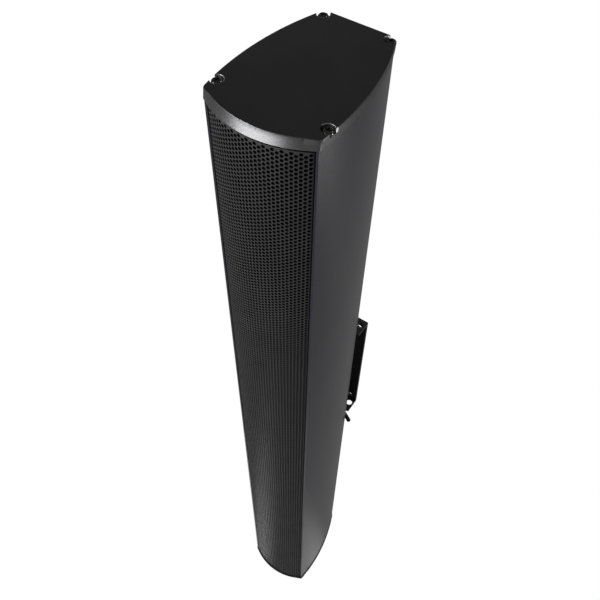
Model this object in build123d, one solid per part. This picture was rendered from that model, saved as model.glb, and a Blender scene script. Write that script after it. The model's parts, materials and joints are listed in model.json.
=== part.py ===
from build123d import *
import math
import os

# Slim column loudspeaker (line array) on a swivelling wall bracket, in millimetres.
# The origin is the centre of the four wall screw holes, on the wall. +Z is up, the wall is at y = 0
# and the loudspeaker faces -Y. The column's middle height is z = 0.

# ---- driving dimensions: cabinet ----
front_width = 99.0  # across the two front corners
back_width = 65.0  # the flat back
body_depth = 132.4  # front corners to flat back
front_bulge = 15.0  # how far the front arc stands ahead of its corners
side_bow = 9.1  # how far each side bows out from its chord
total_height = 1043.0  # over both end caps
cap_height = 8.6
gasket_thickness = 0.8
wall = 2.5  # extruded cabinet wall
wall_gap = 32.0  # wall to flat back

# ---- driving dimensions: end caps ----
cap_overhang = 0.8  # cap outline past the cabinet outline
cap_front_slope = 2.6  # how far the front band leans back over its height
cap_corner_radius = 3.5
cap_pocket_depth = 4.6
cap_pocket_inset = 13.0
front_screw_back = 13.6  # cap screw behind the front corners
rear_screw_ahead = 4.5  # cap screw ahead of the flat back
screw_inset = 3.4  # cap screw axis inside the side of the cabinet
cap_screw_radius = 2.0
cap_screw_length = 20.0
cap_screw_head_radius = 4.3
cap_screw_head_height = 3.2
cap_screw_head_round = 1.6
cap_ledge = 4.8  # metal left under a cap screw head
notch_clearance = 1.2
boss_radius = 4.8

# ---- driving dimensions: grille and baffle ----
grille_thickness = 1.0
grille_setback = 2.2  # grille face behind the cap's front arc
grille_side_gap = 1.0
grille_end_gap = 0.5
cloth_thickness = 0.5
cloth_gap = 0.3
baffle_setback = 6.4  # baffle face behind the front corners
baffle_thickness = 3.0
land_width = 9.0
land_depth = 2.6
part_gap = 0.2  # between neighbours that are assembled by hand

# ---- driving dimensions: drivers ----
driver_count = 12
driver_pitch = 84.0
frame_side = 76.0
frame_corner = 9.0
frame_lip = 3.0
frame_depth = 27.0
basket_radius = 33.6
basket_rear_radius = 21.0
basket_wall = 1.4
basket_neck = 4.5  # straight part of the basket behind its lip
basket_rear_bore = 13.0
basket_window_width = 14.0
basket_window_margin = 2.0
baffle_hole_clearance = 0.5
driver_screw_offset = 31.5
driver_screw_radius = 1.5
driver_screw_head = 2.8
driver_screw_length = 7.5
surround_width = 5.2  # from the basket's inner wall to the cone
surround_lip = 0.9  # flat glued edge at each side of the roll
surround_thickness = 0.7
cone_gap = 0.3
cone_edge_thickness = 0.4
cone_lip = 1.0
cone_thickness = 0.8
cone_depth = 11.0
coil_radius = 10.0
coil_thickness = 0.5
coil_reach = 6.0  # former's end inside the magnet gap
dust_cap_rise = 3.6
dust_cap_overlap = 3.0  # dust cap past the voice coil
plate_radius = 23.2  # front and back plates of the magnet
magnet_radius = 27.0
magnet_thickness = 12.0
plate_thickness = 4.0
coil_clearance = 0.5

# ---- driving dimensions: swivel bracket ----
wall_bracket_width = 64.0
wall_bracket_height = 204.0
wall_bracket_sheet = 3.0
wall_flange_shoulder = 22.5  # flange depth at its sides
wall_flange_nose = 28.0  # flange depth in the middle
wall_flange_nose_width = 24.0
pivot_from_wall = 18.0
pivot_radius = 4.0
fit_clearance = 0.05  # round a bolt, screw or shaft that fits closely
pivot_head_width = 13.0
pivot_head_height = 5.3
pivot_nut_height = 6.5
washer_thickness = 1.0
washer_radius = 8.0
body_gap = 0.3  # between pieces that move on each other
yoke_sheet = 2.5
yoke_half_width = 23.0
yoke_shoulder = 5.0  # past the pivot
yoke_nose = 9.5
yoke_nose_half_width = 12.0
pan_limit = 15.0  # degrees each way
lock_radius = 17.0  # lock screw from the pivot
lock_screw_radius = 2.5
lock_slot_clearance = 0.35
lock_nut_width = 8.0
lock_nut_height = 4.0
lever_hub_radius = 6.5
lever_hub_height = 15.0
lever_length = 26.0
lever_rest_angle = -28.0
lever_radius = 3.0
lever_hub_round = 2.0
bolt_end = 2.0  # swivel bolt past its nut
wall_hole_radius = 3.5
wall_hole_spacing_x = 44.0
wall_hole_spacing_z = 176.0
cable_slot_length = 60.0
cable_slot_width = 26.0
flange_corner = 6.0
tie_hole_radius = 4.6
tie_hole_x = 25.4
tie_hole_from_wall = 9.6
bracket_bolt_x = 13.0
bracket_bolt_z = 66.0
bracket_bolt_radius = 3.0
bracket_bolt_length = 12.0
bracket_bolt_head_radius = 5.25
bracket_bolt_head_height = 3.3
bracket_bolt_head_round = 1.6
bracket_bolt_socket_radius = 2.3
bracket_bolt_socket_depth = 2.0
insert_wall = 1.2
insert_flange = 0.8
insert_flange_width = 1.2
insert_room = 2.0  # wadding kept clear round and behind an insert
insert_length = 11.0
safety_bore_radius = 2.5
safety_z = 380.0

# ---- driving dimensions: rear connections and electrics ----
panel_width = 48.0
panel_height = 86.0
panel_thickness = 2.0
panel_corner = 4.0
panel_z = -380.0
panel_opening_margin = 5.0
panel_screw_inset = 3.6
panel_screw_radius = 1.5
panel_screw_head = 2.4
terminal_width = 34.0
terminal_height = 12.0
terminal_depth = 9.0
terminal_z = -17.0
terminal_ways = 4
terminal_pitch = 7.6
terminal_bore = 1.6
terminal_screw_radius = 2.0
terminal_screw_shaft = 2.2  # bore over each terminal screw
terminal_screw_rise = 1.5  # screws above the block's middle
terminal_screw_depth = 5.0
terminal_screw_height = 2.5
terminal_inside = 6.0  # block ahead of the flat back's outer face
terminal_slot_depth = 0.8
selector_z = 17.0
selector_shaft_radius = 3.0
selector_knob_radius = 10.0
selector_knob_height = 9.0
selector_body_radius = 9.0
selector_body_depth = 9.0
selector_body_floor = 2.0
selector_shaft_clearance = 0.5
selector_plate_height = 4.0  # knob's round base
selector_ridge_half_width = 2.2
selector_ridge_half_length = 8.0
selector_ridge_corner = 1.6
board_width = 50.0
board_height = 120.0
board_thickness = 1.6
board_z = -270.0
board_standoff = 10.0
board_hole_inset = 5.0
board_hole_radius = 1.6
standoff_radius = 3.2
standoff_screw_radius = 1.5
standoff_screw_end = 2.0
capacitor_radius = 6.5
capacitor_height = 20.0
capacitor_pitch = 17.0
coil_part_radius = 12.0
coil_part_bore = 5.0
coil_part_height = 14.0
coil_part_pitch = 34.0
resistor_length = 10.0
resistor_width = 6.0
resistor_height = 8.0
resistor_pitch = 10.0
transformer_z = -165.0
transformer_width = 44.0
transformer_height = 52.0
transformer_depth = 36.0
transformer_plate = 2.0  # foot plate on the cabinet back
transformer_foot = 7.0  # foot plate past the core
transformer_web = 4.0
winding_side = 6.0
winding_end = 9.0
winding_proud = 8.0
winding_corner = 4.0
wadding_low = -115.0
wadding_high = 480.0
wadding_thickness = 22.0
wadding_width = 44.0
trunk_radius = 2.0
branch_radius = 1.0
trunk_x = 34.0
trunk_behind_baffle = 22.0
trunk_end = 8.0  # wire bundle past the first and last branches

# ---- places worked out from the dimensions ----
back_y = -wall_gap
corner_y = back_y - body_depth
front_y = corner_y - front_bulge
half_front = front_width / 2
half_back = back_width / 2
arc_radius = (half_front**2 + front_bulge**2) / (2 * front_bulge)
arc_y = front_y + arc_radius
half_height = total_height / 2
cap_inner = half_height - cap_height
body_end = cap_inner - gasket_thickness
baffle_front = corner_y + baffle_setback
baffle_back = baffle_front + baffle_thickness
basket_inner_radius = basket_radius - basket_wall
surround_inner_radius = basket_inner_radius - surround_width
pivot_y = -pivot_from_wall
flange_top = wall_bracket_height / 2
flange_inside = flange_top - wall_bracket_sheet
yoke_top = flange_inside - washer_thickness - body_gap
driver_heights = [(i - (driver_count - 1) / 2) * driver_pitch for i in range(driver_count)]
corners = [(1, 1), (-1, 1), (-1, -1), (1, -1)]
cap_screw_seat = cap_inner + cap_ledge


def side_middle():
    """Middle point of the right-hand side arc."""
    dx = half_front - half_back
    chord = math.hypot(dx, body_depth)
    x = (half_front + half_back) / 2 + side_bow * body_depth / chord
    y = (corner_y + back_y) / 2 + side_bow * dx / chord
    return x, y


def side_x(y):
    """Half-width of the cabinet at a given y, on the circle through the side's three points."""
    mx, my = side_middle()
    chord = math.hypot(half_front - half_back, body_depth)
    radius = (chord**2 / 4 + side_bow**2) / (2 * side_bow)
    ux = body_depth / chord
    uy = (half_front - half_back) / chord
    cx = mx - radius * ux
    cy = my - radius * uy
    return cx + math.sqrt(radius**2 - (y - cy) ** 2)


def mouth_half_width():
    """Half-width of the cabinet's open front, between its two front edges."""
    return side_x(corner_y + grille_setback) - wall


def mouth():
    """Plan of the open front, from ahead of the bulge back to the baffle."""
    y0 = front_y - front_bulge
    depth = baffle_front - y0
    opening = Pos(0, y0 + depth / 2) * Rectangle(2 * mouth_half_width(), depth)
    ahead = Pos(0, front_y) * Rectangle(front_width * 1.5, 2 * front_bulge)
    return opening + ahead


def behind_baffle():
    """Plan of the space behind the baffle, with a gap to it."""
    y0 = baffle_back + part_gap
    return Pos(0, (y0 + back_y) / 2) * Rectangle(front_width * 1.5, back_y - y0)


def outline(grow=0.0):
    """Plan of the cabinet: flat back, two bowed sides and a bowed front."""
    mx, my = side_middle()
    back = Line((-half_back, back_y), (half_back, back_y))
    right = ThreePointArc((half_back, back_y), (mx, my), (half_front, corner_y))
    front = ThreePointArc((half_front, corner_y), (0, front_y), (-half_front, corner_y))
    left = ThreePointArc((-half_front, corner_y), (-mx, my), (-half_back, back_y))
    face = make_face([back, right, front, left])
    if grow:
        face = offset(face, amount=grow, kind=Kind.INTERSECTION)
    return face


def slab(face, low, high):
    """A plan face raised from z = low to z = high."""
    return extrude(Pos(0, 0, low) * face, amount=high - low)


def block(x0, x1, y0, y1, z0, z1):
    """A box between two corners."""
    centre = Pos((x0 + x1) / 2, (y0 + y1) / 2, (z0 + z1) / 2)
    return centre * Box(abs(x1 - x0), abs(y1 - y0), abs(z1 - z0))


def rod_z(x, y, z0, z1, radius):
    """A round bar along Z."""
    return Pos(x, y, (z0 + z1) / 2) * Cylinder(radius, abs(z1 - z0))


def rod_y(x, z, y0, y1, radius):
    """A round bar along Y."""
    return Pos(x, (y0 + y1) / 2, z) * Rot(90, 0, 0) * Cylinder(radius, abs(y1 - y0))


def hex_z(x, y, z0, z1, width):
    """A hexagon bar along Z, width across flats."""
    face = Pos(x, y, min(z0, z1)) * RegularPolygon(width / math.sqrt(3), 6)
    return extrude(face, amount=abs(z1 - z0))


def turned(points, y, z):
    """A ring turned from (radius, distance behind y) points about a Y-directed axis at height z."""
    face = make_face(Polyline(*[(r, 0, d) for r, d in points], close=True))
    solid = revolve(face, Axis.Z)
    return Pos(0, y, z) * Rot(-90, 0, 0) * solid


def cross_recess(radius, depth):
    """A cross cut in a screw head, at the origin and cut downwards."""
    arm = Box(radius * 1.1, radius * 0.26, depth * 2)
    return arm + Rot(0, 0, 90) * arm


def cap_screw_places():
    """Plan positions of the four cap screws, one in each corner."""
    front = corner_y + front_screw_back
    rear = back_y - rear_screw_ahead
    places = []
    for y in (front, rear):
        x = side_x(y) - screw_inset
        places.append((x, y))
        places.append((-x, y))
    return places


def enclosure():
    """Extruded cabinet: open-fronted shell with screw bosses and baffle lands along its length."""
    outer = outline()
    inner = outline(-wall)
    shell = outer - inner
    lands = Sketch()
    bosses = Sketch()
    holes = Sketch()
    land_y = baffle_back + part_gap
    inner_x = side_x(land_y) - wall
    for side in (-1, 1):
        x = side * (inner_x - land_width / 2 + wall / 2)
        lands += Pos(x, land_y + land_depth / 2) * Rectangle(land_width + wall, land_depth)
    for x, y in cap_screw_places():
        bosses += Pos(x, y) * Circle(boss_radius)
        holes += Pos(x, y) * Circle(cap_screw_radius + fit_clearance)
    section = shell + (lands & outer) + (bosses & outer & behind_baffle()) - holes - mouth()
    body = slab(section, -body_end, body_end)
    for x, z in baffle_screw_places():
        body -= rod_y(x, z, baffle_back, land_y + land_depth + 1, driver_screw_radius + fit_clearance)
    z = panel_z
    half_w = panel_width / 2 - panel_opening_margin
    half_h = panel_height / 2 - panel_opening_margin
    body -= block(-half_w, half_w, back_y - wall * 2, back_y + 1, z - half_h, z + half_h)
    for sx, sz in corners:
        px = sx * (panel_width / 2 - panel_screw_inset)
        pz = z + sz * (panel_height / 2 - panel_screw_inset)
        body -= rod_y(px, pz, back_y - wall * 2, back_y + 1, panel_screw_radius + fit_clearance)
        bx = sx * bracket_bolt_x
        bz = sz * bracket_bolt_z
        body -= rod_y(bx, bz, back_y - wall * 2, back_y + 1, bracket_bolt_radius + insert_wall)
    body -= rod_y(0, safety_z, back_y - wall * 2, back_y + 1, safety_bore_radius + insert_wall)
    return body


def end_cap(sign):
    """End cap: bowed plate whose front band leans back, with a screw notch at each of its four corners."""
    cap = slab(outline(cap_overhang), cap_inner, half_height)
    front = cap.edges().filter_by(Axis.Z).group_by(Axis.Y)[0]
    cap = fillet(front, cap_corner_radius)
    low = arc_radius + cap_overhang
    cone = Pos(0, arc_y, cap_inner + cap_height / 2) * Cone(low, low - cap_front_slope, cap_height)
    cap = cap & cone
    cap -= slab(outline(-cap_pocket_inset), cap_inner, cap_inner + cap_pocket_depth)
    notch_radius = cap_screw_head_radius + notch_clearance
    for x, y in cap_screw_places():
        cap -= rod_z(x, y, cap_screw_seat, half_height + 1, notch_radius)
        if y > (corner_y + back_y) / 2:
            turn = math.degrees(math.atan2(back_y - y, math.copysign(half_back, x) - x))
            way_out = block(0, cap_pocket_inset, -notch_radius, notch_radius, cap_screw_seat, half_height + 1)
            cap -= Pos(x, y, 0) * Rot(0, 0, turn) * way_out
        cap -= rod_z(x, y, cap_inner - 1, half_height, cap_screw_radius + part_gap)
    if sign < 0:
        cap = mirror(cap, Plane.XY)
    return cap


def end_gasket(sign):
    """Flat seal between a cap and the end of the cabinet."""
    ring = outline() - outline(-wall)
    bosses = Sketch()
    holes = Sketch()
    for x, y in cap_screw_places():
        bosses += Pos(x, y) * Circle(boss_radius)
        holes += Pos(x, y) * Circle(cap_screw_radius + part_gap)
    section = ring + (bosses & outline() & behind_baffle()) - holes - mouth()
    gasket = slab(section, body_end, cap_inner)
    if sign < 0:
        gasket = mirror(gasket, Plane.XY)
    return gasket


def cap_screws(sign):
    """Four pan-head cross-recess screws, seated in a cap's notches."""
    screws = []
    for x, y in cap_screw_places():
        shank = rod_z(0, 0, cap_screw_seat - cap_screw_length, cap_screw_seat, cap_screw_radius)
        head = rod_z(0, 0, cap_screw_seat, cap_screw_seat + cap_screw_head_height, cap_screw_head_radius)
        top = head.edges().group_by(Axis.Z)[-1]
        head = fillet(top, cap_screw_head_round)
        recess = Pos(0, 0, cap_screw_seat + cap_screw_head_height)
        head -= recess * cross_recess(cap_screw_head_radius, cap_screw_head_height * 0.5)
        screw = Pos(x, y, 0) * (shank + head)
        if sign < 0:
            screw = mirror(screw, Plane.XY)
        screws.append(screw)
    return Compound(children=screws)


def bowed_sheet(outer_radius, thickness, half_width, half_length):
    """A sheet bent to an arc about the front arc's axis, facing forward."""
    ring = Circle(outer_radius) - Circle(outer_radius - thickness)
    strip = Pos(0, -outer_radius / 2) * Rectangle(2 * half_width, outer_radius * 1.2)
    sheet = (Pos(0, arc_y) * ring) & (Pos(0, arc_y) * strip)
    return slab(sheet, -half_length, half_length)


def grille_half_width():
    """Half-width of the grille between the cabinet's two front edges."""
    return mouth_half_width() - grille_side_gap


def grille():
    """Bowed grille with an edge on each side that is folded back to the baffle."""
    radius = arc_radius + cap_overhang - grille_setback
    half_width = grille_half_width()
    half_length = body_end - grille_end_gap
    sheet = bowed_sheet(radius, grille_thickness, half_width, half_length)
    edge_y = arc_y - math.sqrt(radius**2 - half_width**2)
    for side in (-1, 1):
        inner = side * (half_width - grille_thickness)
        edge = block(inner, side * half_width, edge_y, baffle_front - part_gap, -half_length, half_length)
        sheet += edge
    return sheet


def grille_cloth():
    """Thin black cloth behind the grille."""
    radius = arc_radius + cap_overhang - grille_setback - grille_thickness - cloth_gap
    half_width = grille_half_width() - 2 * grille_thickness
    return bowed_sheet(radius, cloth_thickness, half_width, body_end - 2 * grille_end_gap)


def baffle_half_width():
    """Half-width of the baffle between the cabinet walls."""
    return side_x(baffle_front) - wall - 2 * part_gap


def baffle_screw_places():
    """Baffle screws, in the lands between the drivers and near the ends."""
    x = grille_half_width() - grille_thickness - driver_screw_head - 2 * part_gap
    rows = [z + driver_pitch / 2 for z in driver_heights[:-1:2]]
    return [(side * x, z) for z in rows for side in (-1, 1)]


def baffle():
    """Flat baffle with a round opening for each driver."""
    half_width = baffle_half_width()
    half_length = body_end - grille_end_gap
    plate = block(-half_width, half_width, baffle_front, baffle_back, -half_length, half_length)
    for z in driver_heights:
        plate -= rod_y(0, z, baffle_front - 1, baffle_back + 1, basket_radius + baffle_hole_clearance)
        for sx, sz in corners:
            x = sx * driver_screw_offset
            zz = z + sz * driver_screw_offset
            plate -= rod_y(x, zz, baffle_front - 1, baffle_back + 1, driver_screw_radius + fit_clearance)
    for x, z in baffle_screw_places():
        plate -= rod_y(x, z, baffle_front - 1, baffle_back + 1, driver_screw_radius + fit_clearance)
    return plate


def small_screw(x, y, z, radius, head_radius, length):
    """A small pan-head screw that points backwards from y."""
    head_height = head_radius * 0.7
    head = rod_y(x, z, y - head_height, y, head_radius)
    head -= Pos(x, y - head_height, z) * Rot(90, 0, 0) * cross_recess(head_radius, head_height * 0.5)
    return head + rod_y(x, z, y, y + length, radius)


def baffle_screws():
    """Screws that hold the baffle to the lands."""
    length = baffle_thickness + part_gap + land_depth
    return Compound(
        children=[
            small_screw(x, baffle_front, z, driver_screw_radius, driver_screw_head, length)
            for x, z in baffle_screw_places()
        ]
    )


def driver_frame(z):
    """Driver basket: square lip with cut corners, round tapered wall with windows, rear ring."""
    lip_y = baffle_front - frame_lip
    face = RectangleRounded(frame_side, frame_side, frame_corner)
    lip = Pos(0, baffle_front, z) * Rot(90, 0, 0) * extrude(face, amount=frame_lip)
    lip -= rod_y(0, z, lip_y - 1, baffle_front + 1, basket_inner_radius)
    for sx, sz in corners:
        x = sx * driver_screw_offset
        zz = z + sz * driver_screw_offset
        lip -= rod_y(x, zz, lip_y - 1, baffle_front + 1, driver_screw_radius + fit_clearance)
    rear = basket_rear_radius
    inside = frame_depth - basket_wall
    wall_points = [
        (basket_radius, 0),
        (basket_radius, basket_neck),
        (rear, inside),
        (rear, frame_depth),
        (basket_rear_bore, frame_depth),
        (basket_rear_bore, inside),
        (rear - basket_wall, inside),
        (basket_inner_radius, basket_neck),
        (basket_inner_radius, 0),
    ]
    wall_part = turned(wall_points, baffle_front, z)
    slot_y0 = baffle_front + basket_neck + basket_window_margin
    slot_y1 = baffle_front + inside - basket_window_margin
    half = basket_window_width / 2
    for angle in (45, 135):
        window = block(-frame_side, frame_side, slot_y0, slot_y1, -half, half)
        wall_part -= Pos(0, 0, z) * Rot(0, angle, 0) * window
    return lip + wall_part


def driver_surrounds():
    """Half-roll rubber surrounds, glued inside the frames."""
    rings = []
    mid = (basket_inner_radius + surround_inner_radius) / 2
    roll = surround_width / 2 - surround_lip + surround_thickness
    t = surround_thickness
    for z in driver_heights:
        section = Sketch() + [
            Pos(mid, 0) * (Circle(roll) - Circle(roll - t)) & Pos(mid, -roll) * Rectangle(4 * roll, 2 * roll),
            Pos((mid + roll - t + basket_inner_radius) / 2, t / 2)
            * Rectangle(basket_inner_radius - mid - roll + t, t),
            Pos((surround_inner_radius + mid - roll + t) / 2, t / 2)
            * Rectangle(mid - roll + t - surround_inner_radius, t),
        ]
        ring = revolve(Rot(90, 0, 0) * section, Axis.Z)
        rings.append(Pos(0, baffle_front - frame_lip, z) * Rot(-90, 0, 0) * ring)
    return Compound(children=rings)


def driver_cone(z):
    """Moving piece of a driver: paper cone, dust cap and voice-coil former in one."""
    edge = surround_inner_radius - cone_gap
    coil_end = frame_lip + frame_depth + coil_reach
    t = cone_thickness
    points = [
        (edge, 0),
        (coil_radius, cone_depth),
        (coil_radius, coil_end),
        (coil_radius - coil_thickness, coil_end),
        (coil_radius - coil_thickness, cone_depth - t),
        (edge - cone_lip, -cone_edge_thickness),
        (edge, -cone_edge_thickness),
    ]
    cone = turned(points, baffle_front - frame_lip, z)
    cap_radius = coil_radius + dust_cap_overlap
    ball = (cap_radius**2 + dust_cap_rise**2) / (2 * dust_cap_rise)
    depth_at_cap = cone_depth * (edge - cap_radius) / (edge - coil_radius)
    base_y = baffle_front - frame_lip + depth_at_cap
    ball_centre = Pos(0, base_y - dust_cap_rise + ball, z)
    dome = ball_centre * Sphere(ball) - ball_centre * Sphere(ball - t)
    dome &= block(-cap_radius, cap_radius, base_y - dust_cap_rise - 1, base_y, z - cap_radius, z + cap_radius)
    dome &= rod_y(0, z, base_y - dust_cap_rise - 1, base_y + 1, cap_radius)
    return cone + dome


def magnet_y():
    """Front face of a driver's magnet, on the back of its basket."""
    return baffle_front + frame_depth


def driver_magnets():
    """Front plate and ring magnet of each driver, as one turned piece."""
    inner = coil_radius + coil_clearance
    y0 = magnet_y()
    y1 = y0 + plate_thickness + magnet_thickness
    rings = []
    for z in driver_heights:
        ring = rod_y(0, z, y0, y0 + plate_thickness, plate_radius)
        ring += rod_y(0, z, y0 + plate_thickness, y1, magnet_radius)
        ring -= rod_y(0, z, y0 - 1, y1 + 1, inner)
        rings.append(ring)
    return Compound(children=rings)


def driver_yokes():
    """Back plate and pole piece of each driver."""
    y1 = magnet_y() + plate_thickness + magnet_thickness
    pole = coil_radius - coil_thickness - coil_clearance
    yokes = []
    for z in driver_heights:
        yoke = rod_y(0, z, y1, y1 + plate_thickness, plate_radius)
        yoke += rod_y(0, z, magnet_y(), y1, pole)
        yokes.append(yoke)
    return Compound(children=yokes)


def driver_screws():
    """Four screws for each driver, through the frame corners into the baffle."""
    lip_y = baffle_front - frame_lip
    screws = []
    for z in driver_heights:
        for sx, sz in corners:
            x = sx * driver_screw_offset
            zz = z + sz * driver_screw_offset
            screws.append(small_screw(x, lip_y, zz, driver_screw_radius, driver_screw_head, driver_screw_length))
    return Compound(children=screws)


def wadding():
    """Sound-absorbing pad on the inside of the flat back, with room for the bracket inserts."""
    y1 = back_y - wall - part_gap
    pad = block(-wadding_width / 2, wadding_width / 2, y1 - wadding_thickness, y1, wadding_low, wadding_high)
    room = bracket_bolt_radius + insert_wall + insert_room
    y0 = back_y - insert_length - insert_room
    for sx, sz in corners:
        pad -= rod_y(sx * bracket_bolt_x, sz * bracket_bolt_z, y0, y1 + 1, room)
    pad -= rod_y(0, safety_z, y0, y1 + 1, room)
    return pad


def board_y():
    """Rear face of the crossover board."""
    return back_y - wall - board_standoff


def board_corners():
    """Standoff places under the crossover board."""
    x = board_width / 2 - board_hole_inset
    z = board_height / 2 - board_hole_inset
    return [(sx * x, board_z + sz * z) for sx, sz in corners]


def crossover_board():
    """Printed circuit board on four standoffs."""
    y1 = board_y()
    half_w = board_width / 2
    half_h = board_height / 2
    board = block(-half_w, half_w, y1 - board_thickness, y1, board_z - half_h, board_z + half_h)
    for x, z in board_corners():
        board -= rod_y(x, z, y1 - board_thickness - 1, y1 + 1, board_hole_radius)
    return board


def board_components():
    """Capacitors, coils and a resistor bank on the crossover board."""
    y0 = board_y() - board_thickness
    left = -board_width / 4
    right = board_width / 4 - 1.5
    parts = []
    for i in range(3):
        z = board_z + 38 - capacitor_pitch * i
        parts.append(rod_y(left, z, y0 - capacitor_height, y0, capacitor_radius))
    for i in range(2):
        z = board_z + 28 - coil_part_pitch * i
        coil = rod_y(right, z, y0 - coil_part_height, y0, coil_part_radius)
        coil -= rod_y(right, z, y0 - coil_part_height - 1, y0 + 1, coil_part_bore)
        parts.append(coil)
    for i in range(3):
        z = board_z - 15 - resistor_pitch * i
        half = resistor_length / 2
        low = z - resistor_width / 2
        parts.append(block(left - half, left + half, y0 - resistor_height, y0, low, low + resistor_width))
    return Compound(children=parts)


def board_standoffs():
    """Hexagonal standoffs with a screw end, between the cabinet back and the board."""
    posts = []
    for x, z in board_corners():
        face = RegularPolygon(standoff_radius, 6)
        post = Pos(x, back_y - wall, z) * Rot(90, 0, 0) * extrude(face, amount=board_standoff)
        post += rod_y(x, z, board_y() - board_thickness - standoff_screw_end, board_y(), standoff_screw_radius)
        posts.append(post)
    return Compound(children=posts)


def line_transformer():
    """Laminated line transformer with its winding and two feet."""
    y1 = back_y - wall
    half_w = transformer_width / 2
    half_h = transformer_height / 2
    core_y0 = y1 - transformer_depth
    z = transformer_z
    plate_y = y1 - transformer_plate
    web_y = plate_y - transformer_web
    side = half_w - winding_side
    end = half_h - winding_end
    low = z - half_h - transformer_foot
    high = z + half_h + transformer_foot
    core = block(-half_w, half_w, core_y0 + winding_proud, web_y, z - half_h, z + half_h)
    winding = block(-side, side, core_y0, plate_y, z - end, z + end)
    winding = fillet(winding.edges().filter_by(Axis.Z), winding_corner)
    foot = block(-half_w, half_w, plate_y, y1, low, high)
    web = block(-half_w, half_w, web_y, plate_y, z - half_h, z + half_h)
    return core + winding + foot + web


def wiring_harness():
    """Wire bundle along the cabinet with one branch to each driver."""
    y = baffle_back + trunk_behind_baffle
    low = driver_heights[0] - trunk_end
    high = driver_heights[-1] + trunk_end
    harness = rod_z(trunk_x, y, low, high, trunk_radius)
    for z in driver_heights:
        x0 = magnet_radius + part_gap * 2
        branch = Pos((x0 + trunk_x) / 2, y, z) * Rot(0, 90, 0) * Cylinder(branch_radius, trunk_x - x0)
        harness += branch
    return harness


def input_panel():
    """Rear connection panel over the opening in the flat back."""
    face = RectangleRounded(panel_width, panel_height, panel_corner)
    panel = Pos(0, back_y + panel_thickness, panel_z) * Rot(90, 0, 0) * extrude(face, amount=panel_thickness)
    for sx, sz in corners:
        x = sx * (panel_width / 2 - panel_screw_inset)
        z = panel_z + sz * (panel_height / 2 - panel_screw_inset)
        panel -= rod_y(x, z, back_y - 1, back_y + panel_thickness + 1, panel_screw_radius + fit_clearance)
    z = panel_z + selector_z
    shaft_hole = selector_shaft_radius + selector_shaft_clearance
    panel -= rod_y(0, z, back_y - 1, back_y + panel_thickness + 1, shaft_hole)
    half_w = terminal_width / 2 + part_gap
    half_h = terminal_height / 2 + part_gap
    z = panel_z + terminal_z
    panel -= block(-half_w, half_w, back_y - 1, back_y + panel_thickness + 1, z - half_h, z + half_h)
    return panel


def panel_screws():
    """Four screws of the rear panel, pointing forward."""
    screws = []
    y = back_y + panel_thickness
    for sx, sz in corners:
        x = sx * (panel_width / 2 - panel_screw_inset)
        z = panel_z + sz * (panel_height / 2 - panel_screw_inset)
        screw = small_screw(0, 0, 0, panel_screw_radius, panel_screw_head, panel_thickness + wall + 2)
        screws.append(Pos(x, y, z) * Rot(180, 0, 0) * screw)
    return Compound(children=screws)


def terminal_block():
    """Screw terminal block with one wire entry and one screw shaft for each way."""
    half_w = terminal_width / 2
    half_h = terminal_height / 2
    z = panel_z + terminal_z
    y1 = back_y + panel_thickness + terminal_depth
    body = block(-half_w, half_w, back_y - terminal_inside, y1, z - half_h, z + half_h)
    for i in range(terminal_ways):
        x = (i - (terminal_ways - 1) / 2) * terminal_pitch
        body -= Pos(x, y1 - terminal_depth / 2, z - half_h) * Cylinder(terminal_bore, 10)
        body -= rod_y(x, z + terminal_screw_rise, y1 - terminal_screw_depth, y1 + 1, terminal_screw_shaft)
    return body


def terminal_screws():
    """Clamping screws in the terminal block."""
    screws = []
    z = panel_z + terminal_z + terminal_screw_rise
    y0 = back_y + panel_thickness + terminal_depth - terminal_screw_depth
    y1 = y0 + terminal_screw_height
    half = terminal_slot_depth / 2
    for i in range(terminal_ways):
        x = (i - (terminal_ways - 1) / 2) * terminal_pitch
        screw = rod_y(x, z, y0, y1, terminal_screw_radius)
        reach = terminal_pitch / 2
        screw -= block(x - reach, x + reach, y1 - terminal_slot_depth, y1, z - half, z + half)
        screws.append(screw)
    return Compound(children=screws)


def selector_body():
    """Rotary switch behind the panel."""
    z = panel_z + selector_z
    body = rod_y(0, z, back_y - selector_body_depth, back_y, selector_body_radius)
    floor_y = back_y - selector_body_depth + selector_body_floor
    body -= rod_y(0, z, floor_y, back_y + 1, selector_shaft_radius + fit_clearance)
    return body


def tap_selector_knob():
    """Knob, pointer ridge and shaft of the rotary switch."""
    z = panel_z + selector_z
    y0 = back_y + panel_thickness + body_gap
    knob = rod_y(0, z, y0, y0 + selector_plate_height, selector_knob_radius)
    half_w = selector_ridge_half_width
    half_h = selector_ridge_half_length
    ridge = block(-half_w, half_w, y0, y0 + selector_knob_height, z - half_h, z + half_h)
    ridge = fillet(ridge.edges().filter_by(Axis.Y), selector_ridge_corner)
    floor_y = back_y - selector_body_depth + selector_body_floor
    shaft = rod_y(0, z, floor_y + body_gap, y0 + 1, selector_shaft_radius)
    return knob + ridge + shaft


def plan_plate(points, low, high):
    """A flat plate with a polygon plan, mirrored about x = 0."""
    left = [(-x, y) for x, y in reversed(points)]
    face = make_face(Polyline(*points, *left, close=True))
    return slab(face, low, high)


def lock_slot():
    """Slot on the pivot circle, through a wall bracket flange, for the lock screw."""
    radius = lock_screw_radius + lock_slot_clearance
    ring = Circle(lock_radius + radius) - Circle(lock_radius - radius)
    reach = 2 * lock_radius
    up = (reach * math.cos(math.radians(pan_limit)), reach * math.sin(math.radians(pan_limit)))
    wedge = make_face(Polyline((0, 0), (up[0], -up[1]), up, close=True))
    slot = ring & wedge
    for side in (-1, 1):
        turn = math.radians(side * pan_limit)
        slot += Pos(lock_radius * math.cos(turn), lock_radius * math.sin(turn)) * Circle(radius)
    return Pos(0, pivot_y) * slot


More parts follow.
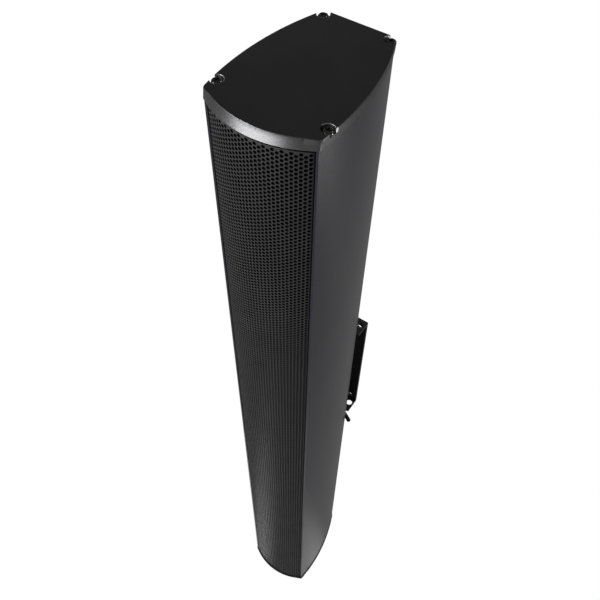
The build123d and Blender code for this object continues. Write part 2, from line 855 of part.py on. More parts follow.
def wall_bracket():
    """U-shaped wall bracket: web on the wall and two swivel flanges."""
    half = wall_bracket_width / 2
    web = block(-half, half, -wall_bracket_sheet, 0, -flange_top, flange_top)
    nose = wall_flange_nose_width / 2
    points = [(half, 0), (half, -wall_flange_shoulder), (nose, -wall_flange_nose)]
    flange = plan_plate(points, flange_inside, flange_top)
    flange = fillet(flange.edges().filter_by(Axis.Z).group_by(Axis.Y)[0], flange_corner)
    flange -= rod_z(0, pivot_y, 0, flange_top + 1, pivot_radius + fit_clearance)
    slot = slab(lock_slot(), flange_inside - 1, flange_top + 1)
    flange -= slot
    flange -= mirror(slot, Plane.YZ)
    for side in (-1, 1):
        flange -= rod_z(side * tie_hole_x, -tie_hole_from_wall, 0, flange_top + 1, tie_hole_radius)
    bracket = web + flange + mirror(flange, Plane.XY)
    for sx, sz in corners:
        x = sx * wall_hole_spacing_x / 2
        z = sz * wall_hole_spacing_z / 2
        bracket -= rod_y(x, z, -wall_bracket_sheet - 1, 1, wall_hole_radius)
    slot = SlotOverall(cable_slot_length, cable_slot_width, rotation=90)
    bracket -= Rot(90, 0, 0) * extrude(slot, amount=wall_bracket_sheet * 2, both=True)
    return bracket


def speaker_bracket():
    """U-shaped bracket on the cabinet back, swivelling between the wall bracket's flanges."""
    rear = back_y + yoke_sheet
    half = yoke_half_width
    web = block(-half, half, back_y, rear, -yoke_top, yoke_top)
    points = [
        (half, back_y),
        (half, pivot_y + yoke_shoulder),
        (yoke_nose_half_width, pivot_y + yoke_nose),
    ]
    flange = plan_plate(points, yoke_top - yoke_sheet, yoke_top)
    flange -= rod_z(0, pivot_y, 0, yoke_top + 1, pivot_radius + fit_clearance)
    bracket = web + flange + mirror(flange, Plane.XY)
    nut_top = -yoke_top + yoke_sheet + lock_nut_height
    bracket += hex_z(lock_radius, pivot_y, nut_top - lock_nut_height, nut_top, lock_nut_width)
    bracket -= rod_z(lock_radius, pivot_y, -yoke_top - 1, nut_top + 1, lock_screw_radius + fit_clearance)
    for sx, sz in corners:
        x = sx * bracket_bolt_x
        z = sz * bracket_bolt_z
        bracket -= rod_y(x, z, back_y - 1, rear + 1, bracket_bolt_radius + part_gap)
    return bracket


def bracket_bolts():
    """Four button-head bolts through the speaker bracket into the cabinet back."""
    bolts = []
    y = back_y + yoke_sheet
    for sx, sz in corners:
        x = sx * bracket_bolt_x
        z = sz * bracket_bolt_z
        head = rod_y(x, z, y, y + bracket_bolt_head_height, bracket_bolt_head_radius)
        head = fillet(head.edges().group_by(Axis.Y)[-1], bracket_bolt_head_round)
        socket = RegularPolygon(bracket_bolt_socket_radius, 6)
        top = y + bracket_bolt_head_height
        head -= Pos(x, top, z) * Rot(90, 0, 0) * extrude(socket, amount=bracket_bolt_socket_depth)
        bolts.append(head + rod_y(x, z, y - bracket_bolt_length, y, bracket_bolt_radius))
    return Compound(children=bolts)


def rivet_insert(x, z, bore):
    """Threaded rivet insert in the cabinet's back wall, with its thin flange inside."""
    y1 = back_y
    y0 = y1 - insert_length
    insert = rod_y(x, z, y0, y1, bore + insert_wall)
    insert += rod_y(x, z, y1 - wall - insert_flange, y1 - wall, bore + insert_wall + insert_flange_width)
    return insert


def bracket_inserts():
    """Inserts that the speaker bracket's bolts screw into."""
    inserts = []
    for sx, sz in corners:
        insert = rivet_insert(sx * bracket_bolt_x, sz * bracket_bolt_z, bracket_bolt_radius)
        bore = bracket_bolt_radius + fit_clearance
        insert -= rod_y(sx * bracket_bolt_x, sz * bracket_bolt_z, back_y - insert_length - 1, back_y + 1, bore)
        inserts.append(insert)
    return Compound(children=inserts)


def safety_insert():
    """Insert for the eye bolt of a safety cable."""
    insert = rivet_insert(0, safety_z, safety_bore_radius)
    insert -= rod_y(0, safety_z, back_y - insert_length - 1, back_y + 1, safety_bore_radius)
    return insert


def pair_of(solid):
    """A piece of the top swivel and its mirror image at the bottom."""
    return Compound(children=[solid, mirror(solid, Plane.XY)])


def pivot_bolts():
    """Swivel bolts, top and bottom."""
    end = yoke_top - yoke_sheet - body_gap - pivot_nut_height - bolt_end
    bolt = rod_z(0, pivot_y, end, flange_top, pivot_radius)
    bolt += hex_z(0, pivot_y, flange_top, flange_top + pivot_head_height, pivot_head_width)
    return pair_of(bolt)


def pivot_nuts():
    """Locking nuts on the inner ends of the swivel bolts."""
    top = yoke_top - yoke_sheet - body_gap
    nut = hex_z(0, pivot_y, top - pivot_nut_height, top, pivot_head_width)
    nut -= rod_z(0, pivot_y, top - pivot_nut_height - 1, top + 1, pivot_radius)
    return pair_of(nut)


def pivot_washers():
    """Slip washers between the two brackets' flanges."""
    washer = rod_z(0, pivot_y, flange_inside - washer_thickness, flange_inside, washer_radius)
    washer -= rod_z(0, pivot_y, 0, flange_inside + 1, pivot_radius + fit_clearance)
    return pair_of(washer)


def lock_lever():
    """Clamping lever under the bottom flange, on its screw through the slot."""
    top = -flange_top - body_gap
    low = top - lever_hub_height
    screw_top = -yoke_top + yoke_sheet + lock_nut_height + 1
    lever = rod_z(0, 0, low + 2, screw_top, lock_screw_radius)
    hub = rod_z(0, 0, low, top, lever_hub_radius)
    hub = fillet(hub.edges().group_by(Axis.Z)[0], lever_hub_round)
    arm = Pos(0, 0, low + lever_radius + 1) * Rot(0, 90, 0) * Cylinder(lever_radius, lever_length - lever_radius)
    arm = Pos((lever_length - lever_radius) / 2, 0, 0) * arm
    tip = Pos(lever_length - lever_radius, 0, low + lever_radius + 1) * Sphere(lever_radius)
    lever = lever + hub + arm + tip
    return Pos(lock_radius, pivot_y, 0) * Rot(0, 0, lever_rest_angle) * lever


def write(shape, name):
    """One file for each node."""
    export_step(shape, f"parts/{name}.step")


os.makedirs("parts", exist_ok=True)
write(enclosure(), "enclosure")
write(end_cap(1), "top_cap")
write(end_cap(-1), "bottom_cap")
write(end_gasket(1), "top_gasket")
write(end_gasket(-1), "bottom_gasket")
write(cap_screws(1), "top_cap_screws")
write(cap_screws(-1), "bottom_cap_screws")
write(grille(), "grille")
write(grille_cloth(), "grille_cloth")
write(baffle(), "baffle")
write(baffle_screws(), "baffle_screws")
for number, height in enumerate(driver_heights, start=1):
    write(driver_frame(height), f"driver_frame_{number:02d}")
    write(driver_cone(height), f"driver_cone_{number:02d}")
write(driver_surrounds(), "driver_surrounds")
write(driver_magnets(), "driver_magnets")
write(driver_yokes(), "driver_yokes")
write(driver_screws(), "driver_screws")
write(wadding(), "damping_wadding")
write(crossover_board(), "crossover_board")
write(board_components(), "board_components")
write(board_standoffs(), "board_standoffs")
write(line_transformer(), "line_transformer")
write(wiring_harness(), "wiring_harness")
write(input_panel(), "input_panel")
write(panel_screws(), "input_panel_screws")
write(terminal_block(), "terminal_block")
write(terminal_screws(), "terminal_screws")
write(selector_body(), "selector_body")
write(tap_selector_knob(), "tap_selector_knob")
write(speaker_bracket(), "speaker_bracket")
write(bracket_bolts(), "bracket_bolts")
write(bracket_inserts(), "bracket_inserts")
write(safety_insert(), "safety_insert")
write(wall_bracket(), "wall_bracket")
write(pivot_bolts(), "pivot_bolts")
write(pivot_nuts(), "pivot_nuts")
write(pivot_washers(), "pivot_washers")
write(lock_lever(), "lock_lever")
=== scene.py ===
import bpy
import json
import math
import numpy as np
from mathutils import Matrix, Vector


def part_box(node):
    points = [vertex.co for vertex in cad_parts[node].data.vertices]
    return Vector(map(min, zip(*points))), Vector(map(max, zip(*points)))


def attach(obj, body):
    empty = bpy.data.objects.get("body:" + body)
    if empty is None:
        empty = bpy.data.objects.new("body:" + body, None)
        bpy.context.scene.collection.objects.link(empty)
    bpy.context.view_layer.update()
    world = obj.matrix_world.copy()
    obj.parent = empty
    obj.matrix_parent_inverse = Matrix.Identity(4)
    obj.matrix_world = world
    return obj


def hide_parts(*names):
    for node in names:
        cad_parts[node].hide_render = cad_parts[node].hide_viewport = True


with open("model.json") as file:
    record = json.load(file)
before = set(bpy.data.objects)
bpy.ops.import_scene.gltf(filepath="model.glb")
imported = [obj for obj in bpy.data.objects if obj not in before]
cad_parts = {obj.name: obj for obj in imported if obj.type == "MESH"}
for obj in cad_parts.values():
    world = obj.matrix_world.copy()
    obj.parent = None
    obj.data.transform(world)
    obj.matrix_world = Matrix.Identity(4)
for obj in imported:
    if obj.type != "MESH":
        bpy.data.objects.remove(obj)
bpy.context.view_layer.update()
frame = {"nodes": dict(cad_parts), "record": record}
nodes = frame["nodes"]
print("frame loaded:", len(nodes), "nodes")

# sizes shared by the pieces, in metres
column = {
    "frontWidth": 0.099,
    "backWidth": 0.065,
    "depth": 0.1324,        # front corners to flat back
    "frontBulge": 0.015,
    "sideBow": 0.0091,
    "backY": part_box("enclosure")[1][1],
}
cornerY = column["backY"] - column["depth"]
frontY = cornerY - column["frontBulge"]
arcRadius = ((column["frontWidth"] / 2) ** 2 + column["frontBulge"] ** 2) / (2 * column["frontBulge"])
arcY = frontY + arcRadius          # the front arc's centre lies on the middle plane


def sideCircle():
    # centre and radius of the circle through the right side's two ends and its bowed middle
    a = np.array([column["frontWidth"] / 2, cornerY])
    b = np.array([column["backWidth"] / 2, column["backY"]])
    chord = np.linalg.norm(b - a)
    radius = (chord ** 2 / 4 + column["sideBow"] ** 2) / (2 * column["sideBow"])
    out = np.array([b[1] - a[1], a[0] - b[0]]) / chord
    return (a + b) / 2 + out * (column["sideBow"] - radius), radius


# helpers that build the node materials
def newMaterial(name):
    mat = bpy.data.materials.new(name)
    mat.use_nodes = True
    tree = mat.node_tree
    return mat, tree, tree.nodes["Principled BSDF"]


def addNode(tree, kind, inputs=None, **settings):
    node = tree.nodes.new(kind)
    for key, value in settings.items():
        setattr(node, key, value)
    for key, value in (inputs or {}).items():
        if hasattr(value, "is_output"):
            tree.links.new(value, node.inputs[key])
        else:
            node.inputs[key].default_value = value
    return node


def objectCoords(tree, scale=(1, 1, 1), turn=(0, 0, 0)):
    # object coordinates in metres, stretched by scale
    coords = addNode(tree, "ShaderNodeTexCoord")
    mapping = addNode(tree, "ShaderNodeMapping", {"Vector": coords.outputs["Object"]})
    mapping.inputs["Scale"].default_value = scale
    mapping.inputs["Rotation"].default_value = turn
    return mapping.outputs["Vector"]


def noise(tree, vector, scale, detail=3.0, rough=0.55):
    return addNode(tree, "ShaderNodeTexNoise",
                   {"Vector": vector, "Scale": scale, "Detail": detail, "Roughness": rough}).outputs["Fac"]


def ramp(tree, fac, low, high, start=0.3, stop=0.7):
    node = addNode(tree, "ShaderNodeValToRGB", {"Fac": fac})
    node.color_ramp.elements[0].position = start
    node.color_ramp.elements[0].color = (*low, 1)
    node.color_ramp.elements[1].position = stop
    node.color_ramp.elements[1].color = (*high, 1)
    return node.outputs["Color"]


def spread(tree, fac, low, high, start=0.3, stop=0.7):
    inputs = {"Value": fac, "From Min": start, "From Max": stop, "To Min": low, "To Max": high}
    return addNode(tree, "ShaderNodeMapRange", inputs).outputs["Result"]


def bump(tree, height, distance, strength=1.0, normal=None):
    inputs = {"Height": height, "Distance": distance, "Strength": strength}
    if normal is not None:
        inputs["Normal"] = normal
    return addNode(tree, "ShaderNodeBump", inputs).outputs["Normal"]


def paint(name, look):
    # sprayed or powder-coated finish: grain and a larger orange peel in the bump, slow drift in colour
    # and gloss
    mat, tree, shader = newMaterial(name)
    coords = objectCoords(tree)
    grain = noise(tree, coords, look["grainScale"], 2.0)
    peel = noise(tree, coords, look["peelScale"], 2.0)
    drift = noise(tree, coords, look["driftScale"], 4.0)
    tree.links.new(ramp(tree, drift, look["dark"], look["light"]), shader.inputs["Base Color"])
    gloss = spread(tree, grain, look["rough"] - look["roughSwing"], look["rough"] + look["roughSwing"])
    tree.links.new(gloss, shader.inputs["Roughness"])
    first = bump(tree, peel, look["peelDepth"])
    tree.links.new(bump(tree, grain, look["grainDepth"], 1.0, first), shader.inputs["Normal"])
    shader.inputs["Metallic"].default_value = look.get("metallic", 0.0)
    shader.inputs["Specular IOR Level"].default_value = look.get("specular", 0.5)
    return mat


cabinetLook = {
    "dark": (0.013, 0.013, 0.020), "light": (0.020, 0.020, 0.029), "rough": 0.32, "roughSwing": 0.08,
    "grainScale": 2600, "grainDepth": 0.00004, "peelScale": 700, "peelDepth": 0.00006, "driftScale": 18,
    "specular": 0.36,
}
grilleLook = {
    "dark": (0.030, 0.030, 0.030), "light": (0.042, 0.042, 0.042), "rough": 0.40, "roughSwing": 0.08,
    "grainScale": 3000, "grainDepth": 0.00002, "peelScale": 900, "peelDepth": 0.00003, "driftScale": 30,
}
bracketLook = {
    "dark": (0.012, 0.012, 0.013), "light": (0.020, 0.020, 0.021), "rough": 0.5, "roughSwing": 0.08,
    "grainScale": 2600, "grainDepth": 0.00004, "peelScale": 800, "peelDepth": 0.00005, "driftScale": 25,
}
screwLook = {
    "dark": (0.08, 0.08, 0.077), "light": (0.15, 0.15, 0.145), "rough": 0.16, "roughSwing": 0.05,
    "grainScale": 4000, "grainDepth": 0.00001, "peelScale": 900, "peelDepth": 0.00001, "driftScale": 200,
    "metallic": 1.0,
}
plasticLook = {
    "dark": (0.014, 0.014, 0.015), "light": (0.020, 0.020, 0.021), "rough": 0.45, "roughSwing": 0.06,
    "grainScale": 2200, "grainDepth": 0.00003, "peelScale": 600, "peelDepth": 0.00002, "driftScale": 40,
}
rubberLook = {
    "dark": (0.008, 0.008, 0.008), "light": (0.014, 0.014, 0.014), "rough": 0.7, "roughSwing": 0.05,
    "grainScale": 1800, "grainDepth": 0.00003, "peelScale": 500, "peelDepth": 0.00002, "driftScale": 60,
    "specular": 0.3,
}
capTopLook = {
    "dark": (0.010, 0.010, 0.0115), "light": (0.015, 0.015, 0.017), "rough": 0.55, "roughSwing": 0.05,
    "grainScale": 3200, "grainDepth": 0.00002, "peelScale": 900, "peelDepth": 0.00002, "driftScale": 20,
    "specular": 0.45,
}
# front band finish: real upright brushing, and a brighter metal than the cap's side walls, which is a painted
# highlight on the front wall
brushedLitBandLook = {
    "dark": (0.13, 0.13, 0.134), "light": (0.20, 0.20, 0.206), "rough": 0.34, "roughSwing": 0.06,
    "lineScale": (2400, 2400, 120), "lineDepth": 0.00001, "grainScale": 3000, "grainDepth": 0.00001,
    "metallic": 1.0,
}


def brushedPaint(name, look):
    # thin satin paint over upright brushing: noise stretched along Z for the lines, fine grain on top
    mat, tree, shader = newMaterial(name)
    lines = noise(tree, objectCoords(tree, look["lineScale"]), 1.0, 3.0, 0.6)
    grain = noise(tree, objectCoords(tree), look["grainScale"], 2.0)
    tree.links.new(ramp(tree, lines, look["dark"], look["light"]), shader.inputs["Base Color"])
    gloss = spread(tree, lines, look["rough"] - look["roughSwing"], look["rough"] + look["roughSwing"])
    tree.links.new(gloss, shader.inputs["Roughness"])
    first = bump(tree, lines, look["lineDepth"])
    tree.links.new(bump(tree, grain, look["grainDepth"], 1.0, first), shader.inputs["Normal"])
    shader.inputs["Metallic"].default_value = look["metallic"]
    return mat


# painted highlight: a bright metal copy of the band finish, put on the far inner wall of each screw notch
# where light falls
notchRimHighlightLook = dict(brushedLitBandLook, dark=(0.42, 0.42, 0.42), light=(0.60, 0.60, 0.60), rough=0.42)
boardLook = dict(plasticLook, dark=(0.02, 0.10, 0.04), light=(0.03, 0.14, 0.06))
brassLook = dict(screwLook, dark=(0.55, 0.38, 0.14), light=(0.66, 0.48, 0.20))
zincLook = dict(screwLook, dark=(0.42, 0.42, 0.44), light=(0.58, 0.58, 0.60), rough=0.35)
ferriteLook = dict(rubberLook, dark=(0.035, 0.035, 0.037), light=(0.05, 0.05, 0.052), specular=0.5)
nylonLook = dict(plasticLook, dark=(0.55, 0.54, 0.50), light=(0.66, 0.65, 0.61))
laminationLook = dict(bracketLook, dark=(0.05, 0.045, 0.04), light=(0.09, 0.08, 0.07))
terminalLook = dict(plasticLook, dark=(0.012, 0.05, 0.02), light=(0.018, 0.075, 0.03))
# side walls of the cap: darker non-metal paint than the front band of the same wall, painted shade
shadedCapSideLook = dict(capTopLook, dark=(0.010, 0.010, 0.012), light=(0.016, 0.016, 0.018), rough=0.40)


def cloth(name, look):
    # plain weave: two crossed wave patterns make the threads
    mat, tree, shader = newMaterial(name)
    coords = objectCoords(tree)
    warp = addNode(tree, "ShaderNodeTexWave", {"Vector": coords, "Scale": look["threads"], "Distortion": 0.4})
    weft = addNode(tree, "ShaderNodeTexWave", {"Vector": coords, "Scale": look["threads"], "Distortion": 0.4},
                   bands_direction="Z")
    threads = {0: warp.outputs["Fac"], 1: weft.outputs["Fac"]}
    both = addNode(tree, "ShaderNodeMath", threads, operation="MAXIMUM")
    colour = ramp(tree, both.outputs[0], look["dark"], look["light"], 0.2, 0.9)
    tree.links.new(colour, shader.inputs["Base Color"])
    tree.links.new(bump(tree, both.outputs[0], look["depth"]), shader.inputs["Normal"])
    shader.inputs["Roughness"].default_value = 0.95
    shader.inputs["Specular IOR Level"].default_value = 0.1
    return mat


clothLook = {"threads": 900, "dark": (0.003, 0.003, 0.003), "light": (0.008, 0.008, 0.008), "depth": 0.00008}
coneLook = dict(clothLook, threads=500, dark=(0.01, 0.01, 0.01), light=(0.02, 0.02, 0.02))
waddingLook = {"threads": 160, "dark": (0.30, 0.30, 0.28), "light": (0.45, 0.45, 0.42), "depth": 0.0006}

mats = {
    "cabinet_paint": paint("cabinetPaint", cabinetLook),
    "cap_metal": brushedPaint("brushedLitBand", brushedLitBandLook),
    "gasket_rubber": paint("gasketRubber", rubberLook),
    "black_screws": paint("blackScrew", screwLook),
    "grille_steel": paint("grillePaint", grilleLook),
    "black_cloth": cloth("grilleCloth", clothLook),
    "baffle_sheet": paint("bafflePaint", bracketLook),
    "surround_rubber": paint("surroundRubber", rubberLook),
    "magnet_ferrite": paint("ferrite", ferriteLook),
    "zinc_steel": paint("zincSteel", zincLook),
    "basket_steel": paint("basketPaint", bracketLook),
    "cone_paper": cloth("conePaper", coneLook),
    "wadding": cloth("wadding", waddingLook),
    "board_laminate": paint("boardLaminate", boardLook),
    "component_plastic": paint("componentPlastic", plasticLook),
    "brass_posts": paint("brassPosts", brassLook),
    "transformer_steel": paint("laminations", laminationLook),
    "wire_sleeve": paint("wireSleeve", rubberLook),
    "panel_metal": paint("panelPaint", bracketLook),
    "terminal_plastic": paint("terminalPlastic", terminalLook),
    "knob_plastic": paint("knobPlastic", plasticLook),
    "bracket_paint": paint("bracketPaint", bracketLook),
    "washer_nylon": paint("washerNylon", nylonLook),
    "lever_plastic": paint("leverPlastic", plasticLook),
}
for entry in frame["record"]["subparts"]:
    ob = nodes[entry["node"]]
    ob.data.materials.clear()
    ob.data.materials.append(mats[entry["material_slot"]])
capTop = paint("capTopPaint", capTopLook)
# the side-wall paint below is painted shade beside the brighter front band
shadedCapSide = paint("shadedCapSidePaint", shadedCapSideLook)
# the notch finish below is a painted highlight for the far inner walls of the screw notches
paintedRimHighlight = brushedPaint("paintedRimHighlight", notchRimHighlightLook)
print("materials on the CAD nodes")


# pieces made here in place of the plain CAD ones
def meshPiece(name, points, faces, material, smooth=None):
    mesh = bpy.data.meshes.new(name)
    mesh.from_pydata([tuple(p) for p in np.asarray(points).tolist()], [], faces)
    mesh.update()
    if smooth is not None:
        mesh.polygons.foreach_set("use_smooth", np.full(len(mesh.polygons), True))
        mesh.set_sharp_from_angle(angle=math.radians(smooth))
    if material is not None:
        mesh.materials.append(material)
    ob = bpy.data.objects.new(name, mesh)
    bpy.context.scene.collection.objects.link(ob)
    return ob


grille = {
    "pitch": 0.004,          # hole to hole, a 60 degree stagger
    "holeRadius": 0.00165,
    "holeSides": 12,
    "sheet": 0.001,
    "setback": 0.0014,       # behind the cabinet's front arc
    "halfWidth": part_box("grille")[1][0],
    "endMargin": 0.0006,     # plain sheet left beyond the last holes' cells
    "endGap": 0.001,         # least dark gap beside each cap
    "foldedEdgeY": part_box("grille")[1][1],
    "bendRadius": 0.0012,
}


# as many whole rows as fit between the caps, then the sheet is cut just past them
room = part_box("grille")[1][2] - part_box("grille")[0][2] - 2 * (grille["endMargin"] + grille["endGap"])
grille["rows"] = int(room / grille["pitch"] - 0.5)
grille["middleZ"] = (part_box("grille")[1][2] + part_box("grille")[0][2]) / 2
grille["halfHeight"] = (grille["rows"] + 0.5) * grille["pitch"] / 2 + grille["endMargin"]


def grilleProfile():
    # the sheet's face as a bent line on the right half: an arc about the front's axis, a small bend and a
    # straight return to the baffle; gives length from the middle, place and outward normal of many points
    radius = arcRadius - grille["setback"]
    bend = grille["bendRadius"]
    centreX = grille["halfWidth"] - bend
    angle = math.asin(centreX / (radius - bend))
    centreY = arcY - (radius - bend) * math.cos(angle)
    arcTurns = np.linspace(0, angle, 120)
    bendTurns = np.linspace(angle, math.pi / 2, 9)[1:]
    turns = np.concatenate([arcTurns, bendTurns])
    isBend = turns > angle
    size = np.where(isBend, bend, radius)
    centre = np.where(isBend[:, None], [centreX, centreY], [0.0, arcY])
    normals = np.stack([np.sin(turns), -np.cos(turns)], 1)
    places = centre + size[:, None] * normals
    lengths = np.concatenate([arcTurns * radius, angle * radius + (bendTurns - angle) * bend])
    straight = grille["foldedEdgeY"] - places[-1, 1]
    places = np.vstack([places, places[-1] + [0, straight]])
    normals = np.vstack([normals, normals[-1]])
    return np.append(lengths, lengths[-1] + straight), places, normals, angle * radius


def bendSheet(s, z, depth):
    # place of a sheet point at length s from the middle and height z, depth under the sheet's face
    lengths, places, normals = grilleProfile()[:3]
    x, y, nx, ny = (np.interp(np.abs(s), lengths, values) for values in (*places.T, *normals.T))
    return np.stack([np.sign(s) * (x - depth * nx), y - depth * ny, z], -1)


def grilleSection(name, firstRow, lastRow, columns, startZ, openEnds):
    # a lattice of hexagon cells, each with a round hole, that runs round the side bends; plain margins
    # run on to the sheet's edges
    pitch = grille["pitch"]
    step = pitch * math.sqrt(3) / 2
    corner = pitch / math.sqrt(3)
    sides = grille["holeSides"]
    order = np.arange(columns)
    columnS = (order - (columns - 1) / 2) * step
    columnRise = (order % 2) * pitch / 2
    rowZ = startZ + np.arange(firstRow, lastRow) * pitch
    centres = np.broadcast_arrays(columnS[:, None], columnRise[:, None] + rowZ)
    centres = np.stack(centres, -1).reshape(-1, 1, 2)

    def around(count, radius):
        turns = np.arange(count) * 2 * math.pi / count
        return centres + radius * np.stack([np.cos(turns), np.sin(turns)], 1)

    cells = len(centres)
    flat = [around(6, corner).reshape(-1, 2), around(sides, grille["holeRadius"]).reshape(-1, 2)]
    outer = np.arange(cells * 6).reshape(cells, 6)
    inner = cells * 6 + np.arange(cells * sides).reshape(cells, sides)
    share = sides // 6
    tris = []
    for k in range(6):
        after = (k + 1) % 6
        middle = k * share + share // 2
        tris.append(np.stack([outer[:, k], outer[:, after], inner[:, middle]], 1))
        for j in range(share):
            apex = outer[:, k] if j < share // 2 else outer[:, after]
            tris.append(np.stack([apex, inner[:, (k * share + j + 1) % sides], inner[:, k * share + j]], 1))
    tris = np.concatenate(tris)
    quads = []
    count = sum(len(part) for part in flat)

    def line(s, z):
        nonlocal count
        flat.append(np.stack(np.broadcast_arrays(s, z), 1))
        count += len(flat[-1])
        return np.arange(count - len(flat[-1]), count)

    def strip(a, b, turned):
        loop = [a[:-1], b[:-1], b[1:], a[1:]]
        quads.append(np.stack(loop[::-1] if turned else loop, 1))

    # side margins, from the zigzag of the last cells, which lie round the bend, down the straight return
    lengths = grilleProfile()[0]
    bends = np.linspace(columnS[-1] + corner, lengths[-1], 4)[1:]
    for side, last in ((-1, 0), (1, -1)):
        zigzagZ = (rowZ[0] + columnRise[last] - pitch / 2) + np.arange(2 * len(rowZ) + 1) * pitch / 2
        zigzagS = columnS[last] + side * np.where(np.arange(len(zigzagZ)) % 2, corner, corner / 2)
        lines = [line(zigzagS, zigzagZ)] + [line(np.array([side * b]), zigzagZ) for b in bends]
        for a, b in zip(lines[:-1], lines[1:]):
            strip(a, b, side < 0)
    # end margins
    endS = np.stack([columnS - corner / 2, columnS + corner / 2], 1).ravel()
    for isHigh, isOpen in zip((False, True), openEnds):
        if isOpen:
            continue
        edgeZ = np.repeat((rowZ[-1] + pitch / 2 if isHigh else rowZ[0] - pitch / 2) + columnRise, 2)
        allS = np.concatenate([-bends[::-1], endS, bends])
        allZ = np.concatenate([np.full(len(bends), edgeZ[0]), edgeZ, np.full(len(bends), edgeZ[-1])])
        near = line(allS, allZ)
        far = line(allS, np.array([grille["middleZ"] + grille["halfHeight"] * (1 if isHigh else -1)]))
        strip(near, far, isHigh)
    flat = np.concatenate(flat)
    # shared corners become one point
    keys, firstUse, shared = np.unique(np.round(flat * 1e7).astype(np.int64), axis=0,
                                       return_index=True, return_inverse=True)
    flat, shared = flat[firstUse], shared.ravel()
    tris, quads = shared[tris], shared[np.concatenate(quads)]
    # the same sheet twice, face and back, and a wall along every edge that only one polygon uses
    total = len(flat)
    points = [bendSheet(flat[:, 0], flat[:, 1], depth) for depth in (0.0, grille["sheet"])]
    edges = np.concatenate([part[:, [k, (k + 1) % part.shape[1]]] for part in (tris, quads)
                            for k in range(part.shape[1])])
    ends = np.sort(edges, 1)
    values, same, uses = np.unique(ends[:, 0] * total + ends[:, 1], return_inverse=True, return_counts=True)
    rim = edges[uses[same.ravel()] == 1]
    walls = np.stack([rim[:, 1], rim[:, 0], rim[:, 0] + total, rim[:, 1] + total], 1)
    faces = tris.tolist() + quads.tolist() + (tris[:, ::-1] + total).tolist()
    faces += (quads[:, ::-1] + total).tolist() + walls.tolist()
    ob = meshPiece(name, np.concatenate(points), faces, mats["grille_steel"], smooth=40)
    print("  ", name, len(faces), "faces")
    return ob


def makeGrille():
    pitch = grille["pitch"]
    arcEnd = grilleProfile()[3]
    columns = 2 * int((arcEnd - grille["holeRadius"]) / (pitch * math.sqrt(3) / 2) + 0.5) + 2
    rows = grille["rows"]
    startZ = grille["middleZ"] - (rows - 0.5) * pitch / 2
    names = ["grilleLower", "grilleMiddle", "grilleUpper"]
    cuts = np.linspace(0, rows, len(names) + 1).astype(int)
    for k, name in enumerate(names):
        ob = grilleSection(name, cuts[k], cuts[k + 1], columns, startZ, (k > 0, k < len(names) - 1))
        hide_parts("grille")
        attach(ob, "speaker")
    print("  ", columns, "columns,", rows, "rows")


makeGrille()
print("grille made")

cap = {
    "overhang": 0.0008,       # past the cabinet all round
    "frontSlope": 0.0026,     # the front band leans back by this much over its height
    "cornerRadius": 0.0035,
    "leanFade": 0.009,        # the lean fades out over this depth, round the corners
    "leanEnd": 0.003,         # and is gone this far behind the cabinet's front corners
    # painted highlight: the bright metal band finish covers only the front wall of the cap
    "bandEnd": 0.001,         # the bright front band stops this far behind them
    "rimReach": 1.01,         # an outline point this close to a screw, in notch radii, is on its notch
    "endRoom": 3,             # clear edge roundings left beside a notch's ends
    "ledge": 0.0048,          # height left under a screw head
    "edge": 0.0005,           # small round along the top edge
    "notchRadius": 0.0055,
    "frontScrewBack": 0.0136,
    "rearScrewAhead": 0.0045,
    "screwInset": 0.0034,
}
# slot rim holds the painted highlight on the far inner wall of each screw notch
finishSlots = {"band": 0, "top": 1, "side": 2, "rim": 3}     # material slots on a cap


def sideX(y):
    # half width of the cabinet at y, from the side's circle
    centre, radius = sideCircle()
    return centre[0] + np.sqrt(radius ** 2 - (y - centre[1]) ** 2)


def capOutline():
    # plan of the cap, counter-clockwise from the front's middle: front arc, rounded corner, bowed side and
    # half of the straight back, then the same mirrored
    over = cap["overhang"]
    centre, sideRadius = sideCircle()
    sideRadius = sideRadius + over
    frontRadius = arcRadius + over
    bend = cap["cornerRadius"]
    # the corner's circle touches the front arc and the side arc from inside
    front = np.array([0.0, arcY])
    gap = centre - front
    apart = np.linalg.norm(gap)
    along = ((frontRadius - bend) ** 2 - (sideRadius - bend) ** 2 + apart ** 2) / (2 * apart)
    rise = math.sqrt((frontRadius - bend) ** 2 - along ** 2)
    unit = gap / apart
    across = np.array([-unit[1], unit[0]])
    corner = max((front + unit * along + side * rise * across for side in (-1, 1)), key=lambda c: c[0] - c[1])
    touchFront = math.atan2(corner[0], arcY - corner[1])
    touchSide = math.atan2(corner[1] - centre[1], corner[0] - centre[0])
    turns = np.linspace(0, touchFront, 40)
    frontLine = np.stack([frontRadius * np.sin(turns), arcY - frontRadius * np.cos(turns)], 1)
    turns = np.linspace(touchFront - math.pi / 2, touchSide, 9)[1:]
    cornerLine = corner + bend * np.stack([np.cos(turns), np.sin(turns)], 1)
    backEdge = column["backY"] + over
    turns = np.linspace(touchSide, math.asin((backEdge - centre[1]) / sideRadius), 90)[1:]
    sideLine = centre + sideRadius * np.stack([np.cos(turns), np.sin(turns)], 1)
    half = np.concatenate([frontLine, cornerLine, sideLine, [[0, backEdge]]])
    return np.concatenate([half, half[1:-1][::-1] * [-1, 1]])


def capScrewPlaces():
    # plan places of the four screws, at the front corners and the rear corners
    places = []
    for y in (cornerY + cap["frontScrewBack"], column["backY"] - cap["rearScrewAhead"]):
        x = sideX(y) - cap["screwInset"]
        places += [(x, y), (-x, y)]
    return places


